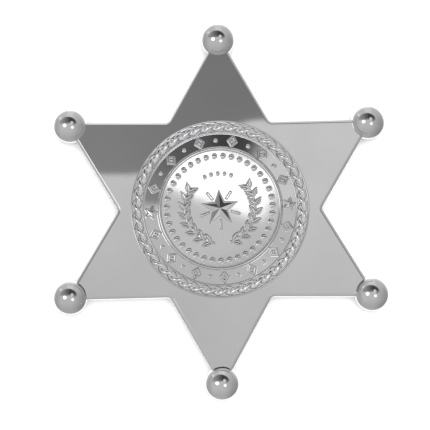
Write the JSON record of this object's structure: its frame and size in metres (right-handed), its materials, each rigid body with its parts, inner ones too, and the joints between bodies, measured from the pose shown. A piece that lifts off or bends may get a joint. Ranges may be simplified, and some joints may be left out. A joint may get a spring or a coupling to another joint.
{
  "type": "sheriff star badge",
  "caption": "Flat six-pointed metal star badge with a ball on each point, a round rope-edged seal with a small star and wreath in the middle, and a pin on the back.",
  "frame": {"origin": "on the surface that the badge lies on, under the middle of the star", "axes": "+X to the right across the face, +Y up the badge towards its top ball, +Z out of the face"},
  "size_m": [0.0654, 0.0746, 0.0066],
  "materials": {
    "star_metal": "bright chrome plate with a very fine satin bloom",
    "ball_metal": "bright polished chrome plate",
    "seal_metal": "bright chrome plate over struck relief, a little duller in the hollows",
    "pin_metal": "nickel-plated steel"
  },
  "bodies": {
    "root": {"star_plate": "star_metal", "ball_top": "ball_metal", "ball_upper_right": "ball_metal", "ball_lower_right": "ball_metal", "ball_bottom": "ball_metal", "ball_lower_left": "ball_metal", "ball_upper_left": "ball_metal", "seal": "seal_metal", "rope_border": "seal_metal", "pin_back": "pin_metal"}
  },
  "joints": []
}
